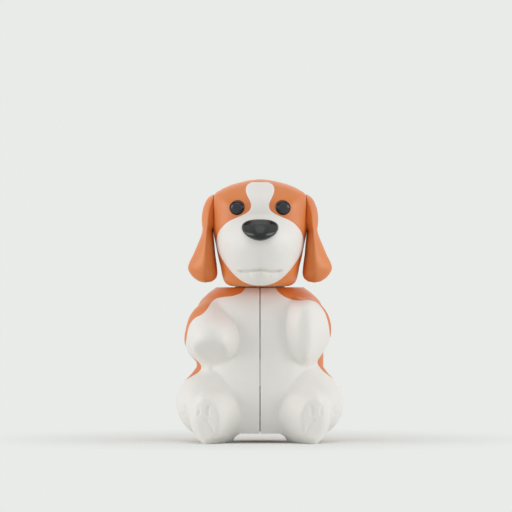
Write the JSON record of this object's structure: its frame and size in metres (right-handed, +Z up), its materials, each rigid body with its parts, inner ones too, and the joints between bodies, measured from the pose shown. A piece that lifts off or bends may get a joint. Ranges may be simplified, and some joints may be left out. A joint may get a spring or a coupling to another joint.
{
  "type": "toothbrush cover",
  "caption": "Wall hung toothbrush cover shaped as a sitting dog, whose body splits into two doors that the brush opens as it is pulled out and closes as it is pushed in.",
  "frame": {"origin": "centre of the suction cup's rim, on the wall", "axes": "+Z up the wall, +Y into the wall, so the dog faces -Y, and +X to the right of someone who looks at it"},
  "size_m": [0.0572, 0.0494, 0.0894],
  "materials": {
    "coat_orange": "satin orange ABS",
    "body_white": "satin white ABS",
    "inner_white": "natural white acetal",
    "steel": "zinc plated steel",
    "soft_grip": "soft moulded elastomer",
    "nose_grey": "gloss dark grey ABS",
    "eye_black": "gloss black ABS",
    "clear_pvc": "clear soft PVC"
  },
  "bodies": {
    "base": {"rear_shell": "coat_orange", "chassis": "inner_white", "chassis_screws": "steel", "left_hinge_pin": "steel", "right_hinge_pin": "steel", "head_front": "coat_orange", "head_back": "coat_orange", "head_screws": "steel", "face_piece": "body_white", "nose": "nose_grey", "left_eye": "eye_black", "right_eye": "eye_black", "left_ear": "coat_orange", "right_ear": "coat_orange", "suction_cup": "clear_pvc"},
    "right_door": {"right_door_shell": "body_white", "right_door_liner": "inner_white"},
    "left_door": {"left_door_shell": "body_white", "left_door_liner": "inner_white"},
    "carriage": {"brush_carriage": "inner_white", "neck_grip": "soft_grip"}
  },
  "joints": [
    {"name": "right_door_hinge", "type": "hinge", "parent": "base", "child": "right_door", "pos_m": [0.0134, -0.0135, 0], "axis": [0, 0, 1], "range_deg": [0, 45]},
    {"name": "left_door_hinge", "type": "hinge", "parent": "base", "child": "left_door", "pos_m": [-0.0134, -0.0135, 0], "axis": [0, 0, -1], "range_deg": [0, 45]},
    {"name": "carriage_slide", "type": "slide", "parent": "base", "child": "carriage", "axis": [0, -1, 0], "range_m": [0, 0.00456]}
  ],
  "couplings": [
    {"joint": "left_door_hinge", "follows": "right_door_hinge", "ratio": 1},
    {"joint": "carriage_slide", "follows": "right_door_hinge", "m_per_rad": 0.005797}
  ]
}
